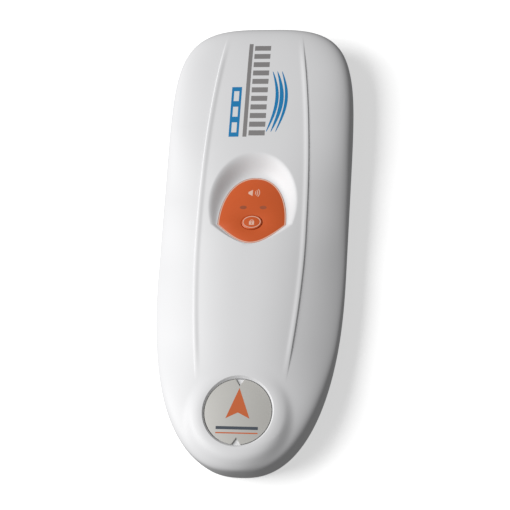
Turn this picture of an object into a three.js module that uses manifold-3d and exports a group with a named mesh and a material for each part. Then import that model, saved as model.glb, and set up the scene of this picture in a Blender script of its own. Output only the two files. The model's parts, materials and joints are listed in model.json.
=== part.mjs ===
// Satellite position-hold module: the top cover of a bow-mounted electric outboard's head.
// Millimetres. +Z is up, +Y runs from the direction dial to the narrow end, +X is starboard.
// The origin is on the flat underside, below the middle of the casing's box.
import * as THREE from 'three';
import { mergeVertices } from 'three/addons/utils/BufferGeometryUtils.js';
import Module from 'manifold-3d';

const wasm = await Module();
wasm.setup();
const { lerp, smoothstep } = THREE.MathUtils;

// ---- Driving dimensions ----
const GAP = 0.3;                 // clearance between pieces that touch
const WALL = 2.6;                // casing wall

// Casing: a low rounded form, widest on one level line.
const HALF_WIDTH = 69;
const WIDEST_Y = -15;            // station of the greatest width
const NARROW_REACH = 188;        // from there to the narrow end
const WIDE_REACH = 158;          // and to the wide end
const NARROW_POWER = 8;          // how blunt each end is, seen from above
const WIDE_POWER = 2.4;
const NARROW_SIDE_POWER = 3.3;   // how square each end's corners are
const WIDE_SIDE_POWER = 2.4;
const WIDEST_Z = 18;             // height of the widest line
const CROWN = 18;                // height of the top above that line
const CROWN_POWER = 6;           // how tight the shoulder is between the top and the side
// How far the flanks would fall below the middle by the outline: [station, fall].
const CAMBER = [[-140, 3.5], [-75, 12], [-20, 12.5], [30, 8.5], [90, 2.5], [140, 0.5]];
const FOOT_INSET = 1.7;          // how far the side wall draws in at the bottom
const BASE_TOP = 3;              // thickness of the base plate

// Raised band along the top, between two ridge lines.
const BAND_RAISE = 0.8;
const BAND_ENDS = [-111, 167];   // where the band has faded into the casing
const BAND_FADE = 34;

// Direction dial on its spindle.
const DIAL_Y = -132;
const DIAL_RADIUS = 23.9;
const DIAL_RIM_Z = 34.6;
const DIAL_RIM_RADIUS = 26.5;
const RECESS_RADIUS = 24.5;
const RECESS_BEVEL = 1.1;
const RECESS_FLOOR_Z = 28.4;
const SPINDLE_RADIUS = 6;
const SPINDLE_FOOT_RADIUS = 8;
const SOCKET_RADIUS = 5;         // round socket for the steering shaft's 9.5 mm top end
const SOCKET_TOP = 12;

// Indicator lens, an arched shield on a plane that sinks towards the narrow end.
const LENS_HALF_WIDTH = 25.2;
const LENS_ARCH = 39.7;          // from the corners up to the top of the arch
const LENS_POINT = 15.3;         // from the corners down to the blunt point
const LENS_POINT_ROUND = 20;
const LENS_ARCH_POWER = 2.15;    // how full the arch is; 2 would be an ellipse
const LENS_CORNER_Y = 9.7;
const LENS_CORNER_Z = 33.5;
const LENS_TILT = THREE.MathUtils.degToRad(8);
const LENS_THICKNESS = 2.2;
const LENS_SEAT = 5;             // the casing's seat reaches this far below the lens's face
const DISH_SPREAD = 16.5;        // how far the dish's wall runs out beyond the arch

// Lock key in the lens.
const KEY_V = 2;                 // its place in the lens, above the corners
const KEY_HALF_WIDTH = 7.6;
const KEY_HALF_HEIGHT = 5.9;
const KEY_PROUD = 0.6;

// Gear pair from the spindle to the position sensor.
const PRESSURE = THREE.MathUtils.degToRad(25);
const BACKLASH = 0.24;
const GEAR = { teeth: 36, module: 1, z: [8, 13] };
const SENSOR_Y = DIAL_Y + GEAR.teeth * GEAR.module;

// Boards.
const BOARD_THICKNESS = 1.6;
const MAIN_BOARD = { x: 34, y: [-50, 84], z: 7 };
const onMainBoard = MAIN_BOARD.z + BOARD_THICKNESS + GAP;
const GNSS = { y: 122, half: 23, z: 23 };
const SENSOR_BOARD = { x: 17, y: [-112, -78], z: 21.6 };

// Fasteners and inlet. Those with one side given are mirrored left and right.
const CASING_SCREWS = [[46, 128], [55, 15], [47, -100]];
const BOARD_SCREWS = [[29, -44], [29, 78]];
const SENSOR_SCREW_X = [-13, 13];
const SENSOR_SCREW_Y = -82;
const INDICATOR_SCREW_X = [-25.5, 25.5];
const GNSS_SCREW_X = [-18.5, 18.5];
const GROMMET = [0, -64];        // where the lead to the outboard's head goes out

// ---- Solids ----

// A closed geometry as a solid: positions only, shared vertices merged, faces outward.
function solid(geometry) {
  const bare = new THREE.BufferGeometry();
  bare.setAttribute('position', geometry.getAttribute('position').clone());
  if (geometry.index) bare.setIndex(geometry.index.clone());
  const merged = mergeVertices(bare, 1e-3);
  const corners = merged.index.array;
  const kept = [];
  for (let i = 0; i < corners.length; i += 3) {
    const [a, b, c] = corners.slice(i, i + 3);
    if (a !== b && b !== c && c !== a) kept.push(a, b, c);
  }
  if (signedVolume(merged.getAttribute('position'), kept) < 0) kept.reverse();
  return new wasm.Manifold(new wasm.Mesh({
    numProp: 3,
    vertProperties: new Float32Array(merged.getAttribute('position').array),
    triVerts: new Uint32Array(kept),
  }));
}

function signedVolume(position, corners) {
  const [a, b, c] = [new THREE.Vector3(), new THREE.Vector3(), new THREE.Vector3()];
  let volume = 0;
  for (let i = 0; i < corners.length; i += 3) {
    a.fromBufferAttribute(position, corners[i]);
    b.fromBufferAttribute(position, corners[i + 1]);
    c.fromBufferAttribute(position, corners[i + 2]);
    volume += a.dot(b.cross(c));
  }
  return volume;
}

function geometryOf(shape) {
  const mesh = shape.getMesh();
  const geometry = new THREE.BufferGeometry();
  geometry.setAttribute('position', new THREE.BufferAttribute(mesh.vertProperties, 3));
  geometry.setIndex(new THREE.BufferAttribute(mesh.triVerts, 1));
  geometry.computeVertexNormals();
  return geometry;
}

// A round bar between two heights.
function rod(radius, low, high, x = 0, y = 0, segments = 20) {
  const geometry = new THREE.CylinderGeometry(radius, radius, high - low, segments);
  return solid(geometry.rotateX(Math.PI / 2).translate(x, y, (low + high) / 2));
}

// A round flat ring between two heights.
function ring(inner, outer, low, high, x = 0, y = 0, segments = 28) {
  const profile = [[inner, low], [outer, low], [outer, high], [inner, high], [inner, low]];
  return turned(profile, x, y, segments);
}

// A turned piece about a vertical axis, from [radius, height] pairs.
function turned(profile, x = 0, y = 0, segments = 24) {
  const points = profile.map(([radius, height]) => new THREE.Vector2(radius, height));
  const geometry = new THREE.LatheGeometry(points, segments);
  return solid(geometry.rotateX(Math.PI / 2).translate(x, y, 0));
}

function box(x, y, z) {
  const geometry = new THREE.BoxGeometry(x[1] - x[0], y[1] - y[0], z[1] - z[0]);
  geometry.translate((x[0] + x[1]) / 2, (y[0] + y[1]) / 2, (z[0] + z[1]) / 2);
  return solid(geometry);
}

// A flat outline in X and Y, given a height.
function plate(shape, low, high, curveSegments = 12) {
  const options = { depth: high - low, bevelEnabled: false, curveSegments };
  return solid(new THREE.ExtrudeGeometry(shape, options).translate(0, 0, low));
}

function outline(points) {
  return new THREE.Shape(points.map(([x, y]) => new THREE.Vector2(x, y)));
}

function both(places) {
  return places.flatMap(([x, y]) => [[x, y], [-x, y]]);
}

// ---- Casing envelope ----

// 0 at the widest station's middle and 1 on the outline. The casing inside the wall
// is the same form drawn in by the wall.
function fullness(x, y, inset) {
  const { across, along } = shares(x, y, inset);
  return across + along;
}

// What the distances across and along the casing each add to the fullness.
function shares(x, y, inset) {
  const reach = (y > WIDEST_Y ? NARROW_REACH : WIDE_REACH) - inset;
  const power = y > WIDEST_Y ? NARROW_POWER : WIDE_POWER;
  const side = lerp(WIDE_SIDE_POWER, NARROW_SIDE_POWER, smoothstep(y, -100, 100));
  return {
    across: Math.pow(Math.abs(x) / (HALF_WIDTH - inset), side),
    along: Math.pow(Math.abs(y - WIDEST_Y) / reach, power),
  };
}

function camber(y) {
  let fall = CAMBER[0][1];
  for (let i = 1; i < CAMBER.length; i++) {
    fall = lerp(fall, CAMBER[i][1], smoothstep(y, CAMBER[i - 1][0], CAMBER[i][0]));
  }
  return fall;
}

function crownHeight(x, y, level, inset) {
  const { across, along } = shares(x, y, inset);
  const fall = camber(y) * Math.min(1, across / Math.max(1 - along, 1e-6));
  return WIDEST_Z + (CROWN - inset - fall) * (1 - level) ** (1 / CROWN_POWER);
}

function topHeight(x, y) {
  return crownHeight(x, y, Math.min(1, fullness(x, y, 0)), 0);
}

// The point where a ray from the widest station's middle meets a given fullness.
function envelopePoint(angle, level, inset) {
  let near = 0;
  let far = NARROW_REACH + HALF_WIDTH;
  for (let step = 0; step < 40; step++) {
    const middle = (near + far) / 2;
    const inside = fullness(middle * Math.cos(angle), WIDEST_Y + middle * Math.sin(angle), inset);
    if (inside < level) near = middle;
    else far = middle;
  }
  return [near * Math.cos(angle), WIDEST_Y + near * Math.sin(angle)];
}

// Ray angles that space the outline's points evenly.
function evenAngles(count, inset) {
  const fine = 720;
  const travelled = [0];
  let last = envelopePoint(0, 1, inset);
  for (let i = 1; i <= fine; i++) {
    const next = envelopePoint(2 * Math.PI * i / fine, 1, inset);
    travelled.push(travelled[i - 1] + Math.hypot(next[0] - last[0], next[1] - last[1]));
    last = next;
  }
  const angles = [];
  let at = 0;
  for (let k = 0; k < count; k++) {
    const target = travelled[fine] * k / count;
    while (travelled[at + 1] < target) at += 1;
    const part = (target - travelled[at]) / (travelled[at + 1] - travelled[at]);
    angles.push(2 * Math.PI * (at + part) / fine);
  }
  return angles;
}

// Closed stack of rings with flat ends, each ring a list of [x, y, z].
function stackOfRings(rings) {
  const count = rings[0].length;
  const positions = rings.flat(2);
  const corners = [];
  for (let r = 0; r + 1 < rings.length; r++) {
    for (let i = 0; i < count; i++) {
      const j = (i + 1) % count;
      const [a, b, c, d] = [r * count + i, r * count + j, (r + 1) * count + j, (r + 1) * count + i];
      corners.push(a, b, c, a, c, d);
    }
  }
  for (const [ringIndex, inward] of [[0, true], [rings.length - 1, false]]) {
    const centre = positions.length / 3;
    for (let axis = 0; axis < 3; axis++) {
      positions.push(rings[ringIndex].reduce((sum, point) => sum + point[axis], 0) / count);
    }
    for (let i = 0; i < count; i++) {
      const [a, b] = [ringIndex * count + i, ringIndex * count + (i + 1) % count];
      if (inward) corners.push(centre, b, a);
      else corners.push(centre, a, b);
    }
  }
  const geometry = new THREE.BufferGeometry();
  geometry.setAttribute('position', new THREE.Float32BufferAttribute(positions, 3));
  geometry.setIndex(corners);
  return solid(geometry);
}

// The outline drawn in by an inset, at one height.
function levelRing(angles, inset, z) {
  return angles.map((angle) => [...envelopePoint(angle, 1, inset), z]);
}

// Rings over the crown, from just above the widest line to the top.
function crownRings(angles, inset, lift = () => 0) {
  return [1.5, 6, 14, 26, 42, 60, 80].map((turn) => {
    const level = Math.cos(THREE.MathUtils.degToRad(turn)) ** 2;
    return angles.map((angle) => {
      const [x, y] = envelopePoint(angle, level, inset);
      return [x, y, crownHeight(x, y, level, inset) + lift(x, y)];
    });
  });
}

// ---- Lens outline, in the lens's own plane ----

function lensPointHeight(u) {
  const hook = (offset) => Math.hypot(offset, LENS_POINT_ROUND) - LENS_POINT_ROUND;
  return LENS_POINT * (hook(u) / hook(LENS_HALF_WIDTH) - 1);
}

// Distance from the middle of the corner line to the lens's edge.
function lensReach(angle) {
  let near = 0;
  let far = LENS_ARCH + 5;
  for (let step = 0; step < 30; step++) {
    const middle = (near + far) / 2;
    const [u, v] = [middle * Math.cos(angle), middle * Math.sin(angle)];
    const across = Math.min(1, Math.abs(u) / LENS_HALF_WIDTH) ** LENS_ARCH_POWER;
    const arch = LENS_ARCH * (1 - across) ** (1 / LENS_ARCH_POWER);
    const inside = Math.abs(u) < LENS_HALF_WIDTH && v < arch && v > lensPointHeight(u);
    if (inside) near = middle;
    else far = middle;
  }
  return near;
}

function lensOutline(grow, count = 36) {
  const points = [];
  for (let i = 0; i < count; i++) {
    const angle = 2 * Math.PI * i / count;
    const reach = lensReach(angle) + grow;
    points.push([reach * Math.cos(angle), reach * Math.sin(angle)]);
  }
  return points;
}

// Lens plane to the part's frame; depth is measured down from the lens's face.
function inLens(shape) {
  return shape.rotate([-THREE.MathUtils.radToDeg(LENS_TILT), 0, 0])
    .translate([0, LENS_CORNER_Y, LENS_CORNER_Z]);
}

function lensPlate(grow, low, high) {
  return inLens(plate(outline(lensOutline(grow)), low, high));
}

function lensOval(x, y, low, high) {
  const shape = new THREE.Shape();
  shape.absellipse(0, KEY_V, x, y, 0, 2 * Math.PI);
  return inLens(plate(shape, low, high, 12));
}

// The dish that the lens sits in: from the lens's edge out and up to the casing's top.
function dish(thicken) {
  const count = 36;
  const floor = [];
  const rim = [];
  for (let i = 0; i < count; i++) {
    const angle = 2 * Math.PI * i / count;
    const reach = lensReach(angle) + 0.8 + thicken;
    const spread = 0.6 + DISH_SPREAD * ((1 + Math.sin(angle)) / 2) ** 2;
    const [u, v] = [reach * Math.cos(angle), reach * Math.sin(angle)];
    const y = LENS_CORNER_Y + v * Math.cos(LENS_TILT);
    floor.push([u, y, LENS_CORNER_Z - v * Math.sin(LENS_TILT) + 0.1 - thicken]);
    const [x2, y2] = [u + spread * Math.cos(angle), y + spread * Math.sin(angle)];
    rim.push([x2, y2, topHeight(x2, y2) + BAND_RAISE + 0.5]);
  }
  const above = rim.map(([x, y]) => [x, y, WIDEST_Z + CROWN + 4]);
  return stackOfRings([floor, rim, above]);
}

// ---- Casing ----

function bandLift(x, y) {
  const fade = smoothstep(y, BAND_ENDS[0], BAND_ENDS[0] + BAND_FADE)
    * (1 - smoothstep(y, BAND_ENDS[1] - BAND_FADE, BAND_ENDS[1]));
  return lerp(-0.4, BAND_RAISE, fade);
}

// Half the width between the ridge lines: widest amidships, drawing in towards both ends.
function bandHalfWidth(y) {
  return y > 0 ? 40.5 - 10.5 * (y / 156) ** 2.4 : 40.5 - 7.3 * (-y / 103) ** 1.8;
}

function bandPrism() {
  const stations = [-114, -95, -70, -40, 0, 45, 85, 115, 140, 168];
  const port = stations.map((y) => [-bandHalfWidth(y), y]);
  const starboard = stations.map((y) => [bandHalfWidth(y), y]).reverse();
  return plate(outline([...port, ...starboard]), WIDEST_Z + 5, 60);
}

function upperCasing() {
  const skinAngles = evenAngles(64, 0);
  const roomAngles = evenAngles(44, WALL);
  const wall = [
    levelRing(skinAngles, FOOT_INSET * 0.75, BASE_TOP + GAP),
    levelRing(skinAngles, FOOT_INSET * 0.25, 10),
    levelRing(skinAngles, 0, WIDEST_Z),
  ];
  const skin = stackOfRings([...wall, ...crownRings(skinAngles, 0)]);
  const raised = stackOfRings([wall[2], ...crownRings(skinAngles, 0, bandLift)]);
  const dialBoss = turned([
    [0, 20], [40, 20], [40, 26.5], [38, 30.2], [35.5, 32.4], [33, 33.6], [30.5, 34.3],
    [DIAL_RIM_RADIUS, DIAL_RIM_Z], [0, DIAL_RIM_Z],
  ], 0, DIAL_Y, 32);
  let room = stackOfRings([
    levelRing(roomAngles, FOOT_INSET + WALL, BASE_TOP - 1),
    levelRing(roomAngles, WALL, WIDEST_Z), ...crownRings(roomAngles, WALL),
  ]);
  room = room.subtract(dish(WALL)).subtract(lensPlate(5, -LENS_SEAT, -0.2));
  room = room.subtract(rod(RECESS_RADIUS + 2.4, RECESS_FLOOR_Z - 2.4, 60, 0, DIAL_Y, 32));
  room = room.subtract(rod(12.5, RECESS_FLOOR_Z - 6, 60, 0, DIAL_Y, 20));
  for (const [x, y] of both(CASING_SCREWS)) room = room.subtract(rod(4.5, 7 + GAP, 60, x, y, 12));
  const hanging = GNSS.z + BOARD_THICKNESS + GAP;
  for (const x of GNSS_SCREW_X) room = room.subtract(rod(3.2, hanging, 60, x, GNSS.y, 10));
  const sensorPost = SENSOR_BOARD.z + BOARD_THICKNESS + GAP;
  for (const x of SENSOR_SCREW_X) room = room.subtract(rod(3.2, sensorPost, 60, x, SENSOR_SCREW_Y, 10));
  let casing = skin.add(raised.intersect(bandPrism())).add(dialBoss).subtract(room);
  casing = casing.subtract(dish(0)).subtract(lensPlate(GAP, -LENS_THICKNESS - 1, 1));
  casing = casing.subtract(lensPlate(-3, -12, 1));
  casing = casing.subtract(rod(RECESS_RADIUS, RECESS_FLOOR_Z, 60, 0, DIAL_Y, 40));
  casing = casing.subtract(turned([
    [0, DIAL_RIM_Z - RECESS_BEVEL], [RECESS_RADIUS, DIAL_RIM_Z - RECESS_BEVEL],
    [RECESS_RADIUS + 2 * RECESS_BEVEL, DIAL_RIM_Z + RECESS_BEVEL], [0, DIAL_RIM_Z + RECESS_BEVEL],
  ], 0, DIAL_Y, 40));
  casing = casing.subtract(rod(SPINDLE_RADIUS + 3.6, 15, 60, 0, DIAL_Y, 24));
  for (const [x, y] of both(CASING_SCREWS)) casing = casing.subtract(rod(2.3, 5, 21, x, y, 10));
  for (const x of GNSS_SCREW_X) casing = casing.subtract(rod(1.6, 15, 29.5, x, GNSS.y, 8));
  for (const x of SENSOR_SCREW_X) casing = casing.subtract(rod(1.6, 15, 28.5, x, SENSOR_SCREW_Y, 8));
  for (const x of INDICATOR_SCREW_X) {
    casing = casing.subtract(inLens(rod(1.6, -LENS_SEAT - 1, -LENS_SEAT + 3.4, x, 0, 8)));
  }
  return casing;
}

function basePlate() {
  const angles = evenAngles(60, 0);
  let base = stackOfRings([
    levelRing(angles, FOOT_INSET + 1.6, 0),
    levelRing(angles, FOOT_INSET + 0.3, 1.2),
    levelRing(angles, FOOT_INSET * 0.8, BASE_TOP),
  ]);
  for (const [x, y] of both(CASING_SCREWS)) base = base.add(rod(6, 1, 7, x, y, 16));
  for (const [x, y] of both(BOARD_SCREWS)) base = base.add(rod(3.6, 1, MAIN_BOARD.z - GAP, x, y, 12));
  base = base.add(rod(13.5, 1, 6, 0, DIAL_Y, 24)).add(rod(5, 1, 6.4, 0, SENSOR_Y, 16));
  base = base.add(partingBand(FOOT_INSET + WALL + 2.4, FOOT_INSET + WALL + 4, 2, 5.5));
  base = base.subtract(rod(11.3, -1, 10, 0, DIAL_Y, 24)).subtract(rod(2.3, 3.2, 10, 0, SENSOR_Y, 12));
  base = base.subtract(rod(7.8, -1, 10, ...GROMMET, 20));
  for (const [x, y] of both(CASING_SCREWS)) {
    base = base.subtract(rod(4.3, -1, 4, x, y, 12)).subtract(rod(2.3, 2, 10, x, y, 10));
  }
  for (const [x, y] of both(BOARD_SCREWS)) base = base.subtract(rod(1.5, 2, 10, x, y, 8));
  return base;
}

// A flat band that follows the outline, between two insets.
function partingBand(outer, inner, low, high) {
  const sheet = (inset) => {
    return outline(evenAngles(44, inset).map((angle) => envelopePoint(angle, 1, inset)));
  };
  return plate(sheet(outer), low, high).subtract(plate(sheet(inner), low - 1, high + 1));
}

// ---- Gears ----

// Involute flanks drawn with one point at the pitch circle; a tooth is centred on the phase.
function toothed({ teeth, module, z }, x, y, phase) {
  const pitch = teeth * module / 2;
  const base = pitch * Math.cos(PRESSURE);
  const involute = (angle) => Math.tan(angle) - angle;
  const halfAngle = (radius) => {
    const slope = radius > base ? Math.acos(base / radius) : 0;
    const atPitch = (Math.PI * module / 2 - BACKLASH / 2) / (2 * pitch);
    return atPitch + involute(PRESSURE) - involute(slope);
  };
  const flank = [pitch - 1.15 * module, pitch, pitch + 0.85 * module];
  const points = [];
  for (let i = 0; i < teeth; i++) {
    const middle = phase + 2 * Math.PI * i / teeth;
    const rising = flank.map((radius) => [radius, middle - halfAngle(radius)]);
    const falling = flank.map((radius) => [radius, middle + halfAngle(radius)]).reverse();
    for (const [radius, angle] of [...rising, ...falling]) {
      points.push([x + radius * Math.cos(angle), y + radius * Math.sin(angle)]);
    }
  }
  return plate(outline(points), z[0], z[1]);
}

function spindleGear() {
  const phase = Math.PI / 2 + Math.PI / GEAR.teeth;
  return toothed(GEAR, 0, DIAL_Y, phase)
    .subtract(rod(SPINDLE_FOOT_RADIUS + GAP, 0, 20, 0, DIAL_Y, 24));
}

// The sensor's gear and its shaft are one moulding.
function sensorGear() {
  return toothed(GEAR, 0, SENSOR_Y, -Math.PI / 2)
    .add(rod(2, 3.6, 20, 0, SENSOR_Y, 12)).add(rod(4, GEAR.z[0] - 1, GEAR.z[1] + 1, 0, SENSOR_Y, 14));
}

// ---- Direction dial ----

function dialPlate() {
  const [notchHalf, notchDepth] = [3.1, 5.2];
  const side = Math.asin(notchHalf / DIAL_RADIUS);
  const points = [];
  for (const turn of [0, Math.PI]) {
    const start = turn - Math.PI / 2 + side;
    const sweep = Math.PI - 2 * side;
    for (let i = 0; i <= 22; i++) {
      const angle = start + sweep * i / 22;
      points.push([DIAL_RADIUS * Math.cos(angle), DIAL_Y + DIAL_RADIUS * Math.sin(angle)]);
    }
    points.push([0, DIAL_Y + (DIAL_RADIUS - notchDepth) * Math.cos(turn)]);
  }
  return plate(outline(points), DIAL_RIM_Z - 1.9, DIAL_RIM_Z - 0.8);
}

function dialCarrier() {
  const [low, high] = [RECESS_FLOOR_Z + 0.5, DIAL_RIM_Z - 2.2];
  const bore = SPINDLE_RADIUS - 1 + GAP;
  return turned([
    [0, high - 1.2], [bore, high - 1.2], [bore, low], [DIAL_RADIUS + 0.3, low],
    [DIAL_RADIUS + 0.3, high], [0, high],
  ], 0, DIAL_Y, 32);
}

function dialSpindle() {
  const shoulder = RECESS_FLOOR_Z + 0.2;
  return turned([
    [0, SOCKET_TOP], [SOCKET_RADIUS, SOCKET_TOP], [SOCKET_RADIUS, 0.8], [SPINDLE_FOOT_RADIUS, 0.8],
    [SPINDLE_FOOT_RADIUS, 6.4], [11, 6.4], [11, 7.6], [SPINDLE_FOOT_RADIUS, 7.6],
    [SPINDLE_FOOT_RADIUS, 15], [SPINDLE_RADIUS, 16], [SPINDLE_RADIUS, shoulder],
    [SPINDLE_RADIUS - 1, shoulder], [SPINDLE_RADIUS - 1, DIAL_RIM_Z - 3.7], [0, DIAL_RIM_Z - 3.7],
  ], 0, DIAL_Y, 24);
}

function positionSensor() {
  const body = turned([
    [3.3, 14.6], [9, 14.6], [9, SENSOR_BOARD.z - GAP], [3.3, SENSOR_BOARD.z - GAP], [3.3, 14.6],
  ], 0, SENSOR_Y, 20);
  return body.add(box([-5, 5], [SENSOR_Y + 7, SENSOR_Y + 12], [16, SENSOR_BOARD.z - GAP]));
}

function sensorBoard() {
  const { x, y, z } = SENSOR_BOARD;
  let board = box([-x, x], y, [z, z + BOARD_THICKNESS]);
  board = board.subtract(rod(14, 0, 60, 0, DIAL_Y, 24));
  for (const u of SENSOR_SCREW_X) board = board.subtract(rod(1.6, 0, 60, u, SENSOR_SCREW_Y, 8));
  return board;
}

// ---- Lens and what is under it ----

function indicatorLens() {
  return lensPlate(0, -LENS_THICKNESS, 0)
    .subtract(lensOval(KEY_HALF_WIDTH + GAP, KEY_HALF_HEIGHT + GAP, -10, 5));
}

function lensGasket() {
  const low = -LENS_THICKNESS - 0.8;
  return lensPlate(-0.4, low, low + 0.6).subtract(lensPlate(-2.8, low - 1, 0));
}

function lockKey() {
  const cap = lensOval(KEY_HALF_WIDTH, KEY_HALF_HEIGHT, -3.9, KEY_PROUD);
  return cap.add(lensOval(KEY_HALF_WIDTH + 1.2, KEY_HALF_HEIGHT + 1.2, -3.9, -LENS_THICKNESS - 0.4));
}

function indicatorBoard() {
  const board = box([-29, 29], [-8, 30], [-LENS_SEAT - 1.9, -LENS_SEAT - GAP]);
  const holes = INDICATOR_SCREW_X.map((x) => rod(1.6, -12, 0, x, 0, 8));
  return inLens(holes.reduce((left, hole) => left.subtract(hole), board));
}

const onIndicatorBoard = -LENS_SEAT;
const statusLed = (x) => inLens(rod(1.9, onIndicatorBoard, -LENS_THICKNESS - 0.4, x, 16, 12));
const sounder = () => inLens(rod(5.5, onIndicatorBoard, -LENS_THICKNESS - 0.4, 0, 27, 20));
const keySwitch = () => inLens(box([-3, 3], [KEY_V - 3, KEY_V + 3], [onIndicatorBoard, -4.6]));

// ---- Electronics ----

function mainBoard() {
  const { x, y, z } = MAIN_BOARD;
  let board = box([-x, x], y, [z, z + BOARD_THICKNESS]);
  for (const [u, v] of both(BOARD_SCREWS)) board = board.subtract(rod(1.6, 0, 50, u, v, 8));
  return board;
}

// A block standing on the main board.
function onBoard(x, y, height) {
  return box(x, y, [onMainBoard, onMainBoard + height]);
}

function gnssBoard() {
  const { y, half, z } = GNSS;
  let board = box([-half, half], [y - half, y + half], [z, z + BOARD_THICKNESS]);
  for (const x of GNSS_SCREW_X) board = board.subtract(rod(1.6, 10, 60, x, y, 8));
  return board;
}

function grommet() {
  const shoulder = BASE_TOP + GAP;
  return turned([
    [4.2, 0.5], [7.4, 0.5], [7.4, shoulder], [10, shoulder], [10, 5.5], [6.5, 9], [4.2, 9], [4.2, 0.5],
  ], ...GROMMET, 20);
}

// A flat cable seen from the side: a strip of even thickness along [y, z] points.
function ribbon(route, halfWidth, thickness) {
  const curve = new THREE.SplineCurve(route.map(([y, z]) => new THREE.Vector2(y, z)));
  const steps = 14;
  const sides = [[], []];
  for (let i = 0; i <= steps; i++) {
    const point = curve.getPoint(i / steps);
    const along = curve.getTangent(i / steps);
    const [dy, dz] = [-along.y * thickness / 2, along.x * thickness / 2];
    sides[0].push([point.x + dy, point.y + dz]);
    sides[1].unshift([point.x - dy, point.y - dz]);
  }
  const strip = plate(outline(sides.flat()), -halfWidth, halfWidth);
  return strip.rotate([90, 0, 0]).rotate([0, 0, 90]);
}

function wire(route, radius) {
  const path = new THREE.CatmullRomCurve3(route.map((point) => new THREE.Vector3(...point)));
  const section = new THREE.Shape();
  section.absarc(0, 0, radius, 0, 2 * Math.PI);
  return solid(new THREE.ExtrudeGeometry(section, {
    steps: 14, curveSegments: 4, bevelEnabled: false, extrudePath: path,
  }));
}

// ---- Fasteners ----

// Pan head below, shank above.
function screw(x, y, headLow, shankTop, headRadius, shankRadius, segments = 8) {
  const neck = headLow + headRadius * 0.62;
  return turned([
    [0, headLow], [headRadius * 0.8, headLow], [headRadius, headLow + 0.5], [headRadius, neck],
    [shankRadius, neck], [shankRadius, shankTop - shankRadius], [0, shankTop],
  ], x, y, segments);
}

function screwFromAbove(x, y, headTop, shankLow, headRadius, shankRadius) {
  return screw(x, -y, -headTop, -shankLow, headRadius, shankRadius).rotate([180, 0, 0]);
}

// A casing screw, with a cross recess in its head.
function casingScrew(x, y) {
  const [headLow, arm] = [1.2, 2.2];
  const slot = (width, length) => box([x - width, x + width], [y - length, y + length],
    [headLow - 1, headLow + 1.2]);
  const form = screw(x, y, headLow, 19, 3.9, 1.9, 12);
  return form.subtract(slot(arm, 0.35).add(slot(0.35, arm)));
}

// ---- Assembly ----

const plastic = (color, roughness) => ({ color, roughness, metalness: 0 });
const metal = (color, roughness) => ({ color, roughness, metalness: 1 });
const FINISH = {
  white: plastic(0xe9eaea, 0.35),
  dial: plastic(0xb9b8b3, 0.5),
  orange: plastic(0xcc5a2c, 0.35),
  rubber: plastic(0x1d1e20, 0.8),
  board: plastic(0x1f5a38, 0.5),
  acetal: plastic(0xe6e2d2, 0.45),
  black: plastic(0x202224, 0.5),
  ceramic: plastic(0xb9a88a, 0.6),
  led: plastic(0xd8e6d2, 0.2),
  steel: metal(0x9b9da0, 0.35),
  bronze: metal(0x9a7b4a, 0.4),
};

const model = new THREE.Group();
model.name = 'position_hold_module';

function part(name, shape, finish, group) {
  const mesh = new THREE.Mesh(geometryOf(shape), new THREE.MeshStandardMaterial(FINISH[finish]));
  mesh.name = name;
  group.add(mesh);
}

function subassembly(build) {
  const group = new THREE.Group();
  build((name, shape, finish) => part(name, shape, finish, group));
  model.add(group);
}

subassembly((add) => {
  add('upper_casing', upperCasing(), 'white');
  add('base_plate', basePlate(), 'white');
  const seam = FOOT_INSET + WALL;
  add('casing_gasket', partingBand(seam + 0.5, seam + 2.1, BASE_TOP + GAP, 5.2), 'rubber');
  both(CASING_SCREWS).forEach(([x, y], index) => {
    add(`casing_screw_${index + 1}`, casingScrew(x, y), 'steel');
  });
  add('cable_grommet', grommet(), 'rubber');
});

subassembly((add) => {
  add('indicator_lens', indicatorLens(), 'orange');
  add('lens_gasket', lensGasket(), 'rubber');
  add('lock_key', lockKey(), 'orange');
  add('key_switch', keySwitch(), 'black');
  add('status_led_left', statusLed(-7.4), 'led');
  add('status_led_right', statusLed(7.4), 'led');
  add('sounder', sounder(), 'black');
  add('indicator_board', indicatorBoard(), 'board');
  INDICATOR_SCREW_X.forEach((x, index) => {
    const fastener = screw(x, 0, -LENS_SEAT - 4, -LENS_SEAT + 2.6, 2.7, 1.3);
    add(`indicator_screw_${index + 1}`, inLens(fastener), 'steel');
  });
});

subassembly((add) => {
  const bore = SPINDLE_RADIUS + GAP;
  add('direction_dial', dialPlate(), 'dial');
  add('dial_carrier', dialCarrier(), 'white');
  add('dial_spindle', dialSpindle(), 'acetal');
  add('spindle_gear', spindleGear(), 'acetal');
  add('spindle_clip', ring(bore, 9, 20.6, 21.6, 0, DIAL_Y, 20), 'steel');
  add('upper_bush', ring(bore, 9.3, RECESS_FLOOR_Z - 6, RECESS_FLOOR_Z - 0.6, 0, DIAL_Y, 20), 'bronze');
  add('dial_seal', ring(11, 13.5, RECESS_FLOOR_Z + 0.1, RECESS_FLOOR_Z + 0.4, 0, DIAL_Y, 24), 'rubber');
  add('lower_bush', ring(SPINDLE_FOOT_RADIUS + GAP, 11, 0.4, 6, 0, DIAL_Y, 24), 'bronze');
});

subassembly((add) => {
  add('sensor_gear', sensorGear(), 'acetal');
  add('position_sensor', positionSensor(), 'black');
  add('sensor_board', sensorBoard(), 'board');
  SENSOR_SCREW_X.forEach((x, index) => {
    const fastener = screw(x, SENSOR_SCREW_Y, SENSOR_BOARD.z - 2.3, 27.5, 2.7, 1.3);
    add(`sensor_screw_${index + 1}`, fastener, 'steel');
  });
});

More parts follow.
